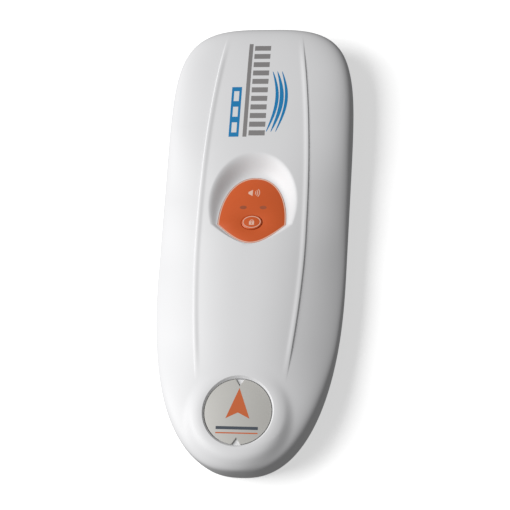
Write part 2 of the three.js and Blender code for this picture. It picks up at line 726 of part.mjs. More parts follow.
subassembly((add) => {
  add('main_board', mainBoard(), 'board');
  both(BOARD_SCREWS).forEach(([x, y], index) => {
    add(`board_screw_${index + 1}`, screwFromAbove(x, y, onMainBoard + 2, 2.6, 2.8, 1.2), 'steel');
  });
  add('processor', onBoard([-8, 8], [-14, 2], 1.8), 'black');
  add('radio_module', onBoard([-30, -10], [24, 48], 3.2), 'steel');
  add('power_converter', onBoard([12, 28], [-34, -14], 9), 'black');
  add('motor_driver', onBoard([-28, -12], [-34, -18], 2.4), 'black');
  add('supply_connector', onBoard([-11, 11], [-48, -39], 7.5), 'led');
  add('capacitor_left', rod(5, onMainBoard, 20, -20, 62, 16), 'black');
  add('capacitor_right', rod(5, onMainBoard, 20, 20, 62, 16), 'black');
});

subassembly((add) => {
  const { y, z } = GNSS;
  const boardTop = z + BOARD_THICKNESS + GAP;
  add('gnss_board', gnssBoard(), 'board');
  add('gnss_antenna', box([-12.5, 12.5], [y - 12.5, y + 12.5], [boardTop, boardTop + 4]), 'ceramic');
  add('gnss_receiver', box([-8, 8], [y - 8, y + 8], [z - 3, z - GAP]), 'steel');
  add('heading_sensor', box([-4, 4], [y + 12, y + 20], [z - 2, z - GAP]), 'black');
  GNSS_SCREW_X.forEach((x, index) => {
    add(`gnss_screw_${index + 1}`, screw(x, y, z - 2.3, z + 5.5, 2.7, 1.3), 'steel');
  });
});

subassembly((add) => {
  const lensUnder = 20.6;
  const board = onMainBoard + 0.2;
  add('indicator_ribbon', ribbon([[32, lensUnder], [34, 17], [40, 13], [41, board]], 6, 0.8), 'dial');
  const aerialRoute = [[-14, 104, 21.6], [-14, 97, 20], [-14, 84, 14], [-14, 78, board + 0.6]];
  add('gnss_cable', wire(aerialRoute, 1.2), 'black');
});

export default model;
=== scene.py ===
"""Looks for the satellite position-hold module.

A fine casing, dial, lens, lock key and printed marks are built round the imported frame. Lengths are in
millimetres until a mesh is made. The axes are the part's: +Z up, +Y from the dial to the narrow end.
"""
import json
import math

import bmesh
import bpy
import numpy as np
from mathutils import Matrix, Vector
from mathutils.geometry import delaunay_2d_cdt


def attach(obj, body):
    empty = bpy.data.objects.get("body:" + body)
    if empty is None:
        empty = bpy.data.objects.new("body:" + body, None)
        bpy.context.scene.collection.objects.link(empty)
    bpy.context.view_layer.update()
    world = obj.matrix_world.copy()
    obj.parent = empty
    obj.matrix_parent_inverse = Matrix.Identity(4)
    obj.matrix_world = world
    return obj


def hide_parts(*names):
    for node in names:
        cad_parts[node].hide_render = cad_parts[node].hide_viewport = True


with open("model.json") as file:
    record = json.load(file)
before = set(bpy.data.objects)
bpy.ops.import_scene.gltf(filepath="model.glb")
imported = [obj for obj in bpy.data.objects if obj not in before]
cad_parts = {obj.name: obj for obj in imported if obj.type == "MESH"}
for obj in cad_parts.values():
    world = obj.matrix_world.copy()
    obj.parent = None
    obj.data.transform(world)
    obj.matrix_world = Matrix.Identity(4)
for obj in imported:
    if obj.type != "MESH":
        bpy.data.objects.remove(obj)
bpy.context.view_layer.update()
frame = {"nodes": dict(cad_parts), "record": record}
MM = 0.001

# ---- Casing outline and crown ----
HALF_WIDTH = 69.0
WIDEST_Y, WIDEST_Z = -15.0, 18.0
NARROW_REACH, NARROW_POWER = 188.0, 8.0
WIDE_REACH, WIDE_POWER = 158.0, 2.4
SIDE_POWER, SIDE_POWER_GAIN, SIDE_BLEND = 2.4, 0.9, 100
CROWN, CROWN_POWER = 18.0, 6.0
# How far the flanks have fallen at the edge, by place along the casing.
CAMBER = ((-140, 3.5), (-75, 12.0), (-20, 12.5), (30, 8.5), (90, 2.5), (140, 0.5))
FOOT_INSET, FOOT_POWER = 1.7, 1.4
WALL = 2.6
SEAM_Z = 3.3
SKIN_COUNT = 560
# Above this fullness the skin is made of rings, and below it of a fill.
RING_LIMIT_DEGREES, FILL_LIMIT = 26.5, 0.79
OUTLINE_HALVINGS, LENS_HALVINGS = 48, 40

# ---- Raised band ----
BAND_HALF = 40.5
BAND_UP_LOSS, BAND_UP_LENGTH, BAND_UP_POWER = 10.5, 156, 2.4
BAND_DOWN_LOSS, BAND_DOWN_LENGTH, BAND_DOWN_POWER = 7.3, 103, 1.8
BAND_LOW, BAND_HIGH, BAND_FADE = -111.0, 167.0, 34.0
BEAD, BAND_LIFT = 0.75, 0.2
RIDGE_OUTER, RIDGE_INNER = (-0.35, 0.55), (-4.2, -0.9)

# ---- Dial ----
DIAL_Y, DIAL_RADIUS = -132.0, 23.9
DIAL_FOOT_Z, DIAL_FACE_Z = 32.7, 33.8
DIAL_EDGE_IN = 0.22
NOTCH_HALF, NOTCH_DEPTH = 3.1, 5.2
DIAL_RIM_Z, DIAL_RIM_RADIUS = 34.6, 26.4
BOSS_FALL, BOSS_BLEND, BOSS_SINK = 0.024, 0.8, 0.1
BOSS_FADE, BOSS_REACH = 33, 41.5
RECESS_RADIUS, RECESS_FLOOR_Z, RECESS_BEVEL = 24.5, 28.4, 1.1
RECESS_COUNT = 160

# ---- Lens, its dish and the lock key ----
LENS_HALF_WIDTH, LENS_ARCH, LENS_ARCH_POWER = 25.2, 39.7, 2.15
LENS_POINT, LENS_POINT_ROUND = 15.3, 20.0
LENS_CORNER_Y, LENS_CORNER_Z, LENS_TILT = 9.7, 33.5, math.radians(8)
LENS_THICKNESS, LENS_GAP = 2.2, 0.14
DISH_NARROW, DISH_SPREAD, DISH_LIP, DISH_RAISE = 0.6, 16.5, 0.5, 0.1
KEY_V, KEY_HALF_WIDTH, KEY_HALF_HEIGHT, KEY_PROUD = 2.0, 7.6, 5.9, 0.6
KEY_FLANGE, KEY_FLANGE_TOP, KEY_FOOT, KEY_ROUND = 1.2, -2.6, -3.9, -0.9

# ---- Underside ----
CASING_SCREWS = [(side * x, y) for x, y in ((46, 128), (55, 15), (47, -100)) for side in (1, -1)]
SCREW_COUNT, SCREW_POCKET, SCREW_HOLE, SCREW_SEAT_Z = 48, 4.3, 2.3, 4.0
SCREW_TOP_Z, SCREW_DRIVE_Z = 1.2, 2.4
GROMMET_Y, GROMMET_HOLE = -64.0, 7.8
SPINDLE_HOLE, SPINDLE_HOLE_TOP = 11.3, 6.0


# ---- Casing surface ----

def smoothstep(v, a, b):
    """0 below a, 1 above b and a smooth rise between."""
    t = np.clip((v - a) / (b - a), 0, 1)
    return t * t * (3 - 2 * t)


def shares(x, y, inset=0.0):
    """What the distances across and along the casing each add to the fullness."""
    side = SIDE_POWER + SIDE_POWER_GAIN * smoothstep(y, -SIDE_BLEND, SIDE_BLEND)
    reach = np.where(y > WIDEST_Y, NARROW_REACH, WIDE_REACH) - inset
    power = np.where(y > WIDEST_Y, NARROW_POWER, WIDE_POWER)
    return (np.abs(x) / (HALF_WIDTH - inset)) ** side, (np.abs(y - WIDEST_Y) / reach) ** power


def fullness(x, y, inset=0.0):
    """0 at the widest station's middle and 1 on the outline."""
    across, along = shares(x, y, inset)
    return across + along


def crown(x, y):
    """Height of the plain top: a tight shoulder round the edge, and flanks that fall away from the middle."""
    across, along = shares(x, y)
    fall = CAMBER[0][1]
    for (low, _), (high, depth) in zip(CAMBER, CAMBER[1:]):
        fall = fall + (depth - fall) * smoothstep(y, low, high)
    fall = fall * np.minimum(1, across / np.maximum(1 - along, 1e-6))
    return WIDEST_Z + (CROWN - fall) * np.maximum(0, 1 - across - along) ** (1 / CROWN_POWER)


def envelope(angles, level, inset=0.0):
    """Points where rays from the widest station's middle meet a given fullness."""
    near, far = np.zeros_like(angles), np.full_like(angles, NARROW_REACH + HALF_WIDTH)
    for _ in range(OUTLINE_HALVINGS):
        middle = (near + far) / 2
        within = fullness(middle * np.cos(angles), WIDEST_Y + middle * np.sin(angles), inset) < level
        near, far = np.where(within, middle, near), np.where(within, far, middle)
    return np.column_stack([near * np.cos(angles), WIDEST_Y + near * np.sin(angles)])


def even_angles(count):
    """Ray angles that space the outline's points evenly."""
    fine = np.linspace(0, 2 * math.pi, 4001)
    points = envelope(fine, 1.0)
    along = np.concatenate([[0], np.cumsum(np.linalg.norm(np.diff(points, axis=0), axis=1))])
    return np.interp(np.arange(count) * along[-1] / count, along, fine)


def band_half(y):
    """Half the width between the two ridges."""
    up = BAND_HALF - BAND_UP_LOSS * (np.maximum(y, 0) / BAND_UP_LENGTH) ** BAND_UP_POWER
    down = BAND_HALF - BAND_DOWN_LOSS * (np.maximum(-y, 0) / BAND_DOWN_LENGTH) ** BAND_DOWN_POWER
    return np.where(y > 0, up, down)


def ridge(x, y):
    """Height of the two ridges and of the band between them: steep outside, easy inside."""
    across = np.abs(x) - band_half(y)
    outer = 1 - smoothstep(across, *RIDGE_OUTER)
    inner = smoothstep(across, *RIDGE_INNER)
    fade = smoothstep(y, BAND_LOW, BAND_LOW + BAND_FADE)
    fade = fade * (1 - smoothstep(y, BAND_HIGH - BAND_FADE, BAND_HIGH))
    return outer * (BAND_LIFT + (BEAD - BAND_LIFT) * inner) * fade


def lens_reach(angles):
    """Distance from the middle of the lens's corner line to its edge."""
    def hook(offset):
        return np.hypot(offset, LENS_POINT_ROUND) - LENS_POINT_ROUND

    near, far = np.zeros_like(angles), np.full_like(angles, LENS_ARCH + 5)
    for _ in range(LENS_HALVINGS):
        middle = (near + far) / 2
        u, v = middle * np.cos(angles), middle * np.sin(angles)
        across = np.minimum(1, np.abs(u) / LENS_HALF_WIDTH) ** LENS_ARCH_POWER
        arch = LENS_ARCH * (1 - across) ** (1 / LENS_ARCH_POWER)
        low = LENS_POINT * (hook(u) / hook(LENS_HALF_WIDTH) - 1)
        within = (np.abs(u) < LENS_HALF_WIDTH) & (v < arch) & (v > low)
        near, far = np.where(within, middle, near), np.where(within, far, middle)
    return near


REACH_ANGLES = np.linspace(-math.pi, math.pi, 2881)
REACH_TABLE = lens_reach(REACH_ANGLES)


def lens_polar(x, y):
    """A plan point's direction from the lens's middle, its place up the lens and how far past the edge it is."""
    u, v = x, (y - LENS_CORNER_Y) / math.cos(LENS_TILT)
    angle = np.arctan2(v, u)
    return angle, v, np.hypot(u, v) - np.interp(angle, REACH_ANGLES, REACH_TABLE)


def dish_spread(angle):
    """Width of the dish's slope: widest above the lens and next to nothing below it."""
    return DISH_NARROW + DISH_SPREAD * ((1 + np.sin(angle)) / 2) ** 2


def top_height(x, y):
    """The casing's outer surface: crown, ridges, dial boss with its bevelled rim, and lens dish."""
    z = crown(x, y) + ridge(x, y)
    radius = np.hypot(x, y - DIAL_Y)
    boss = DIAL_RIM_Z - BOSS_FALL * np.maximum(0, radius - DIAL_RIM_RADIUS) ** 2
    blended = (z + boss + np.sqrt((z - boss) ** 2 + BOSS_BLEND)) / 2 - BOSS_SINK
    z = z + (blended - z) * (1 - smoothstep(radius, BOSS_FADE, BOSS_REACH))
    z = np.minimum(z, DIAL_RIM_Z - RECESS_BEVEL + np.maximum(0, radius - RECESS_RADIUS))
    angle, v, beyond = lens_polar(x, y)
    bottom = LENS_CORNER_Z - v * math.sin(LENS_TILT) + DISH_RAISE
    t = np.clip((beyond - DISH_LIP) / dish_spread(angle), 0, 1)
    rise = 0.3 * t + 0.7 * t * t * (3 - 2 * t)
    return np.where(t < 1, bottom + (np.maximum(z, bottom) - bottom) * rise, z)


# ---- Meshes ----

class Build:
    """Collects loops, strips and fills of points in millimetres, then makes one mesh."""

    def __init__(self):
        self.points, self.faces = [], []

    def add(self, points):
        """Adds the points and returns their numbers."""
        start = len(self.points)
        self.points.extend(map(tuple, points))
        return list(range(start, start + len(points)))

    def strip(self, rows):
        """Closed rows of equal count, joined one to the next."""
        rows = [self.add(row) for row in rows]
        for a, b in zip(rows, rows[1:]):
            count = len(a)
            self.faces += [(a[i], a[(i + 1) % count], b[(i + 1) % count], b[i]) for i in range(count)]

    def fill(self, outer, holes, place, extra=()):
        """The flat area inside outer and outside holes, put into space by place."""
        loops = [np.asarray(outer, float)] + [np.asarray(hole, float) for hole in holes]
        flat, edges = [], []
        for loop in loops:
            base = len(flat)
            flat += [Vector(p) for p in loop]
            edges += [(base + i, base + (i + 1) % len(loop)) for i in range(len(loop))]
        flat += [Vector(p) for p in extra]
        points, _, triangles, *_ = delaunay_2d_cdt(flat, edges, [], 0, 1e-7)
        points = np.array([tuple(p) for p in points])
        triangles = np.array(triangles)
        centres = points[triangles].mean(axis=1)
        keep = inside(centres, loops[0])
        for hole in loops[1:]:
            keep &= ~inside(centres, hole)
        index = self.add(place(points[:, 0], points[:, 1]))
        self.faces += [tuple(index[k] for k in t) for t in triangles[keep]]

    def object(self, name, smooth=35):
        mesh = bpy.data.meshes.new(name)
        mesh.from_pydata([(x * MM, y * MM, z * MM) for x, y, z in self.points], [], self.faces)
        mesh.validate()
        obj = bpy.data.objects.new(name, mesh)
        bpy.context.collection.objects.link(obj)
        tidy(obj, smooth)
        return obj


def inside(points, loop):
    """Even-odd test of many points against one closed loop."""
    x, y = points[:, 0], points[:, 1]
    result = np.zeros(len(points), bool)
    for (x1, y1), (x2, y2) in zip(loop, np.roll(loop, -1, axis=0)):
        crosses = (y1 > y) != (y2 > y)
        if crosses.any():
            at = x1 + (y - y1) * (x2 - x1) / (y2 - y1 if y2 != y1 else 1e-12)
            result ^= crosses & (x < at)
    return result


def tidy(obj, smooth):
    """Merges the seams, turns the faces outwards and smooths all but sharp edges."""
    work = bmesh.new()
    work.from_mesh(obj.data)
    bmesh.ops.remove_doubles(work, verts=work.verts, dist=2e-6)
    bmesh.ops.recalc_face_normals(work, faces=work.faces)
    work.to_mesh(obj.data)
    work.free()
    obj.data.polygons.foreach_set("use_smooth", [True] * len(obj.data.polygons))
    obj.data.set_sharp_from_angle(angle=math.radians(smooth))


def circle(radius, y=0.0, x=0.0, count=96):
    turn = np.arange(count) * 2 * math.pi / count
    return np.column_stack([x + radius * np.cos(turn), y + radius * np.sin(turn)])


def lift(loop, z):
    """Plan points at one height, or at each point's own height."""
    loop = np.asarray(loop, float)
    return np.column_stack([loop, np.broadcast_to(z, len(loop))])


def turned(name, profile, y):
    """A piece turned about a vertical axis on the centre line, from (radius, height) pairs."""
    made = Build()
    made.strip([lift(circle(max(radius, 0.001), y), z) for radius, z in profile])
    return made.object(name)


def level(z):
    """Plan points to one height."""
    return lambda x, y: np.column_stack([x, y, np.full(len(x), z)])


def in_lens(depth):
    """Lens plane to the part's frame, at a height above the lens's face."""
    def place(u, v):
        y = LENS_CORNER_Y + v * math.cos(LENS_TILT) + depth * math.sin(LENS_TILT)
        z = LENS_CORNER_Z - v * math.sin(LENS_TILT) + depth * math.cos(LENS_TILT)
        return np.column_stack([u, y, z])
    return place


def lens_loop(grow, count=288):
    """The lens's edge in its own plane, grown or shrunk."""
    angles = np.arange(count) * 2 * math.pi / count
    reach = lens_reach(angles) + grow
    return np.column_stack([reach * np.cos(angles), reach * np.sin(angles)])


def key_oval(grow, count=96):
    turn = np.arange(count) * 2 * math.pi / count
    across = (KEY_HALF_WIDTH + grow) * np.cos(turn)
    return np.column_stack([across, KEY_V + (KEY_HALF_HEIGHT + grow) * np.sin(turn)])


# ---- Procedural materials ----

def material(name, colour, rough, metal=0.0, spread=0.03, grain=260.0, bump=0.02, **extra):
    """A finish whose tone, roughness and surface all vary a little over the piece."""
    made = bpy.data.materials.new(name)
    made.use_nodes = True
    nodes, links = made.node_tree.nodes, made.node_tree.links
    shader = nodes["Principled BSDF"]
    where = nodes.new("ShaderNodeTexCoord")
    noise = nodes.new("ShaderNodeTexNoise")
    noise.inputs["Scale"].default_value = grain * 0.12
    noise.inputs["Detail"].default_value = 3
    links.new(where.outputs["Object"], noise.inputs["Vector"])
    tone = nodes.new("ShaderNodeMix")
    tone.data_type = "RGBA"
    dark = [c * (1 - spread) for c in colour]
    light = [min(1, c * (1 + spread)) for c in colour]
    tone.inputs["A"].default_value = (*dark, 1)
    tone.inputs["B"].default_value = (*light, 1)
    links.new(noise.outputs["Fac"], tone.inputs["Factor"])
    links.new(tone.outputs["Result"], shader.inputs["Base Color"])
    gloss = nodes.new("ShaderNodeMapRange")
    gloss.inputs["To Min"].default_value = max(0.02, rough - 0.05)
    gloss.inputs["To Max"].default_value = min(1, rough + 0.05)
    links.new(noise.outputs["Fac"], gloss.inputs["Value"])
    links.new(gloss.outputs["Result"], shader.inputs["Roughness"])
    fine = nodes.new("ShaderNodeTexNoise")
    fine.inputs["Scale"].default_value = grain * 12
    links.new(where.outputs["Object"], fine.inputs["Vector"])
    relief = nodes.new("ShaderNodeBump")
    relief.inputs["Strength"].default_value = bump
    relief.inputs["Distance"].default_value = 0.0001
    links.new(fine.outputs["Fac"], relief.inputs["Height"])
    links.new(relief.outputs["Normal"], shader.inputs["Normal"])
    shader.inputs["Metallic"].default_value = metal
    for key, value in extra.items():
        shader.inputs[key.replace("_", " ")].default_value = value
    return made


FINISH = {
    "white_plastic": material("white_plastic", (0.80, 0.80, 0.81), 0.42, bump=0.05, spread=0.012,
                              Specular_IOR_Level=0.4),
    "dial_grey": material("dial_grey", (0.56, 0.55, 0.52), 0.42, bump=0.12),
    "orange_plastic": material("orange_plastic", (0.68, 0.118, 0.027), 0.36, bump=0.04, spread=0.05),
    "black_rubber": material("black_rubber", (0.03, 0.03, 0.032), 0.75, bump=0.2, spread=0.1),
    "circuit_board": material("circuit_board", (0.03, 0.16, 0.07), 0.4, spread=0.12),
    "acetal": material("acetal", (0.74, 0.71, 0.60), 0.42, spread=0.04),
    "black_plastic": material("black_plastic", (0.035, 0.035, 0.04), 0.5, spread=0.1, bump=0.1),
    "led_resin": material("led_resin", (0.75, 0.82, 0.70), 0.2, spread=0.03),
    "antenna_ceramic": material("antenna_ceramic", (0.5, 0.42, 0.30), 0.6, spread=0.08, bump=0.1),
    "stainless": material("stainless", (0.60, 0.60, 0.61), 0.3, metal=1.0, spread=0.06, bump=0.08),
    "bronze": material("bronze", (0.52, 0.36, 0.16), 0.38, metal=1.0, spread=0.12, bump=0.1),
}
INK_GREY = material("ink_grey", (0.26, 0.25, 0.25), 0.4, spread=0.06)
INK_BLUE = material("ink_blue", (0.008, 0.22, 0.50), 0.4, spread=0.06)
INK_NAVY = material("ink_navy", (0.06, 0.075, 0.10), 0.45, spread=0.06)
INK_ORANGE = material("ink_orange", (0.62, 0.13, 0.03), 0.45, spread=0.06)
INK_PALE = material("ink_pale", (0.86, 0.56, 0.44), 0.4, spread=0.04)
INK_WHITE = material("ink_white", (0.78, 0.79, 0.80), 0.4, spread=0.03)
# Darker orange ovals over the two lamps: painted shade of the hollows behind the lens.
LAMP_SHADOW = material("lamp_shadow", (0.40, 0.10, 0.045), 0.36, spread=0.2, grain=900)

for entry in frame["record"]["subparts"]:
    node = frame["nodes"][entry["node"]]
    for place in node.material_slots:
        place.material = FINISH[entry["material_slot"]]


def finish_piece(obj, body, slot, paint=None, stands_for=()):
    """Gives a piece its material and body, and hides the CAD nodes that it stands for. Without paint, slot names
    the finish.
    """
    obj.data.materials.clear()
    obj.data.materials.append(paint or FINISH[slot])
    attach(obj, body)
    if stands_for:
        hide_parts(*stands_for)


# ---- Casing ----

def side_inset(z):
    """How far the wall leans in below the widest level."""
    return FOOT_INSET * ((WIDEST_Z - z) / WIDEST_Z) ** FOOT_POWER


def on_top(x, y):
    return lift(np.column_stack([x, y]), top_height(x, y))


def casing_skin():
    made = Build()
    angles = even_angles(SKIN_COUNT)
    lower = [lift(envelope(angles, 1.0, side_inset(z)), z) for z in (SEAM_Z, 5, 7.5, 10, 12.5, 15, 17)]
    lip = [lift(envelope(angles, 1.0, FOOT_INSET + WALL), z) for z in (8.0, SEAM_Z)]
    rounds = [lift(envelope(angles, 1.0), WIDEST_Z)]
    for turn in (0.25, 0.7, 1.4, 2.4, 3.8, 5.5, 7.5, 10, 12.5, 15, 17.5, 20, 23, RING_LIMIT_DEGREES):
        rounds.append(on_top(*envelope(angles, math.cos(math.radians(turn)) ** 2).T))
    made.strip(lip + lower + rounds)
    boundary = rounds[-1][:, :2]

    recess = circle(RECESS_RADIUS, DIAL_Y, count=RECESS_COUNT)
    pocket = plan_of_lens(LENS_GAP)
    made.fill(boundary, [recess, pocket], on_top, feature_points(boundary))

    wall = [on_top(*recess.T), lift(recess, RECESS_FLOOR_Z + 0.6)]
    floor_rows = (RECESS_RADIUS - 0.5, RECESS_FLOOR_Z), (9.6, RECESS_FLOOR_Z), (9.6, 22.0)
    wall += [lift(circle(radius, DIAL_Y, count=RECESS_COUNT), z) for radius, z in floor_rows]
    made.strip(wall)
    pocket_rows = (LENS_GAP, -1.0), (LENS_GAP, -3.2), (-3.0, -3.2), (-3.0, -9)
    deep = [in_lens(depth)(*lens_loop(grow).T) for grow, depth in pocket_rows]
    made.strip([on_top(*pocket.T)] + deep)
    return made.object("casing_skin", smooth=30)


def plan_of_lens(grow):
    """The lens's edge seen from straight above."""
    loop = lens_loop(grow)
    return np.column_stack([loop[:, 0], LENS_CORNER_Y + loop[:, 1] * math.cos(LENS_TILT)])


def feature_points(boundary):
    """Points that carry the ridges, dish and dial boss, with an even grid between them."""
    keep = []
    stations = np.arange(BAND_LOW - 2, BAND_HIGH + 2, 1.6)
    for across in (-5.5, -4.4, -3.6, -2.8, -2.1, -1.5, -1.0, -0.6, -0.3, -0.1, 0.1, 0.3, 0.5, 0.8, 1.3):
        half = band_half(stations) + across
        keep += [np.column_stack([side * half, stations]) for side in (-1, 1)]
    turn = np.arange(240) * 2 * math.pi / 240
    reach = np.interp(np.mod(turn + math.pi, 2 * math.pi) - math.pi, REACH_ANGLES, REACH_TABLE)
    for t in (0.0, 0.05, 0.11, 0.18, 0.26, 0.35, 0.44, 0.53, 0.62, 0.71, 0.8, 0.88, 0.95, 1.0, 1.05, 1.12):
        radius = reach + DISH_LIP + t * dish_spread(turn)
        v = radius * np.sin(turn)
        ring = np.column_stack([radius * np.cos(turn), LENS_CORNER_Y + v * math.cos(LENS_TILT)])
        keep.append(ring if t in (0.0, 0.35, 0.71, 1.0) else ring[dish_spread(turn) > 1.5])
    for radius in (24.8, 25.1, 25.4, 25.6, 25.75, 25.9, 26.05, 26.2, 26.4, 26.7, 27.2, 27.9, 28.8, 29.8, 31, 32.2,
                   33.4, 34.8, 36.2, 37.6, 39, 40.4):
        keep.append(circle(radius, DIAL_Y, count=200))
    x, y = np.meshgrid(np.arange(-68, 69, 1.9), np.arange(-172, 173, 1.9))
    grid = np.column_stack([x.ravel(), y.ravel()])
    across = np.abs(grid[:, 0]) - band_half(grid[:, 1])
    angle, _, beyond = lens_polar(grid[:, 0], grid[:, 1])
    banded = (across > -6.5) & (across < 2.3) & (grid[:, 1] > BAND_LOW - 3) & (grid[:, 1] < BAND_HIGH + 3)
    dished = beyond < 1.2 * dish_spread(angle) + 1.5
    dialled = np.hypot(grid[:, 0], grid[:, 1] - DIAL_Y) < BOSS_REACH
    keep.append(grid[~(banded | dished | dialled)])
    points = np.vstack(keep)
    _, _, beyond = lens_polar(points[:, 0], points[:, 1])
    free = (beyond > 0.4) & (np.hypot(points[:, 0], points[:, 1] - DIAL_Y) > RECESS_RADIUS + 0.05)
    free &= inside(points, boundary) & (fullness(points[:, 0], points[:, 1]) < FILL_LIMIT)
    return points[free]


def base_skin():
    made = Build()
    angles = even_angles(SKIN_COUNT)
    rows = [(8.2, 3.0), (1.32, 3.0), (1.4, 2.3), (1.65, 1.6), (2.1, 0.9), (2.6, 0.35), (3.0, 0.08), (3.3, 0.0)]
    made.strip([lift(envelope(angles, 1.0, inset), z) for inset, z in rows])
    holes = [circle(SPINDLE_HOLE, DIAL_Y), circle(GROMMET_HOLE, GROMMET_Y)]
    made.strip([lift(holes[0], 0.0), lift(holes[0], SPINDLE_HOLE_TOP)])
    made.strip([lift(holes[1], 0.0), lift(holes[1], 3.0)])
    for x, y in CASING_SCREWS:
        pocket, hole = circle(SCREW_POCKET, y, x, SCREW_COUNT), circle(SCREW_HOLE, y, x, SCREW_COUNT)
        made.strip([lift(pocket, 0.0), lift(pocket, SCREW_SEAT_Z), lift(hole, SCREW_SEAT_Z)])
        holes.append(pocket)
    made.fill(envelope(angles, 1.0, rows[-1][0]), holes, level(0.0))
    return made.object("base_skin")


finish_piece(casing_skin(), "casing", "white_plastic", stands_for=["upper_casing"])
finish_piece(base_skin(), "casing", "white_plastic", stands_for=["base_plate"])


# ---- Underside pieces ----

def drive_cross(x, y, arm=2.2, half=0.35):
    """Outline of a screw's cross recess."""
    cross = [(arm, -half), (arm, half), (half, half), (half, arm), (-half, arm), (-half, half), (-arm, half),
             (-arm, -half), (-half, -half), (-half, -arm), (half, -arm), (half, -half)]
    return np.array(cross) + (x, y)


for index, (x, y) in enumerate(CASING_SCREWS):
    cross = drive_cross(x, y)
    head = Build()
    head.fill(circle(3.2, y, x, SCREW_COUNT), [cross], level(SCREW_TOP_Z))
    head.strip([lift(cross, SCREW_TOP_Z), lift(cross, SCREW_DRIVE_Z)])
    head.fill(cross, [], level(SCREW_DRIVE_Z))
    rows = [(3.2, SCREW_TOP_Z), (3.6, 1.35), (3.85, 1.7), (3.9, 2.2), (3.9, 3.6), (1.9, 3.6), (1.9, 18.0),
            (0.6, 19.0)]
    head.strip([lift(circle(radius, y, x, SCREW_COUNT), z) for radius, z in rows])
    name = f"casing_screw_{index + 1}"
    finish_piece(head.object("head_of_" + name), "casing", "stainless", stands_for=[name])

grommet = [(4.2, 0.9), (4.6, 0.5), (7.0, 0.5), (7.4, 0.9), (7.4, 3.3), (10, 3.3), (10, 5.5), (6.5, 9), (4.2, 9),
           (4.2, 0.9)]
finish_piece(turned("grommet_rubber", grommet, GROMMET_Y), "casing", "black_rubber", stands_for=["cable_grommet"])
bush = [(8.5, 0.4), (8.3, 0.6), (8.3, 6), (11, 6), (11, 0.7), (10.7, 0.4), (8.5, 0.4)]
finish_piece(turned("bush_bronze", bush, DIAL_Y), "casing", "bronze", stands_for=["lower_bush"])
spindle = [(0, 12), (5, 12), (5, 1.2), (5.4, 0.8), (7.6, 0.8), (8, 1.2), (8, 6.4), (11, 6.4), (11, 7.6), (8, 7.6),
           (8, 15), (6, 16), (6, 28.6), (5, 28.6), (5, 30.9), (0, 30.9)]
finish_piece(turned("spindle_acetal", spindle, DIAL_Y), "dial", "acetal", stands_for=["dial_spindle"])


# ---- Dial and its carrier ----

def dial_loop(inset=0.0):
    """The dial's edge with a V notch at twelve and at six o'clock."""
    radius = DIAL_RADIUS - inset
    side = math.asin((NOTCH_HALF + inset) / radius)
    points = []
    for turn in (0.0, math.pi):
        sweep = np.linspace(turn - math.pi / 2 + side, turn + math.pi / 2 - side, 90)
        points += [(radius * math.cos(a), DIAL_Y + radius * math.sin(a)) for a in sweep]
        tip = (DIAL_RADIUS - NOTCH_DEPTH - inset * 1.9) * math.cos(turn)
        points.append((0.0, DIAL_Y + tip))
    return np.array(points)


dial = Build()
dial.strip([lift(dial_loop(0.3), DIAL_FOOT_Z), lift(dial_loop(), DIAL_FOOT_Z), lift(dial_loop(), 33.62),
            lift(dial_loop(0.06), 33.75), lift(dial_loop(DIAL_EDGE_IN), DIAL_FACE_Z)])
dial.fill(dial_loop(DIAL_EDGE_IN), [], level(DIAL_FACE_Z))
dial.fill(dial_loop(0.3), [], level(DIAL_FOOT_Z))
finish_piece(dial.object("dial_face"), "dial", "dial_grey", stands_for=["direction_dial"])
carrier = [(0, 31.2), (5.3, 31.2), (5.3, 28.9), (24.2, 28.9), (24.2, 32.2), (24.0, 32.4), (0, 32.4)]
finish_piece(turned("carrier_disc", carrier, DIAL_Y), "dial", "white_plastic", stands_for=["dial_carrier"])


# ---- Lens and lock key ----

def lens_rows(loop, rows):
    """One loop at several (growth, height) pairs."""
    return [in_lens(depth)(*loop(grow).T) for grow, depth in rows]


lens = Build()
lens.strip(lens_rows(lens_loop, [(-0.2, 0.0), (-0.06, -0.05), (0.0, -0.2), (0.0, -LENS_THICKNESS)]))
lens.strip(lens_rows(key_oval, [(0.9, 0.0), (0.5, -0.08), (0.3, -0.35), (0.3, -LENS_THICKNESS)]))
lens.fill(lens_loop(-0.2), [key_oval(0.9)], in_lens(0.0))
lens.fill(lens_loop(0.0), [key_oval(0.3)], in_lens(-LENS_THICKNESS))
finish_piece(lens.object("lens_face"), "casing", "orange_plastic", stands_for=["indicator_lens"])

key = Build()
key.strip(lens_rows(key_oval, [
    (KEY_ROUND, KEY_PROUD), (-0.4, KEY_PROUD - 0.1), (-0.1, KEY_PROUD - 0.35), (0, KEY_PROUD - 0.7),
    (0, KEY_FLANGE_TOP), (KEY_FLANGE, KEY_FLANGE_TOP), (KEY_FLANGE, KEY_FOOT),
]))
key.fill(key_oval(KEY_ROUND), [], in_lens(KEY_PROUD))
key.fill(key_oval(KEY_FLANGE), [], in_lens(KEY_FOOT))
finish_piece(key.object("key_cap"), "key", "orange_plastic", stands_for=["lock_key"])


# ---- Printed marks ----

INK_THICK, INK_ROOT = 0.03, 0.05


def mark(name, shapes, surface, body, slot, ink):
    """Thin printed shapes. Each is an outer loop and its holes, and surface(height) places them."""
    made = Build()
    for outer, *holes in shapes:
        made.fill(outer, holes, surface(INK_THICK))
        for loop in (outer, *holes):
            x, y = np.asarray(loop, float).T
            made.strip([surface(INK_THICK)(x, y), surface(-INK_ROOT)(x, y)])
    finish_piece(made.object(name, smooth=60), body, slot, ink)


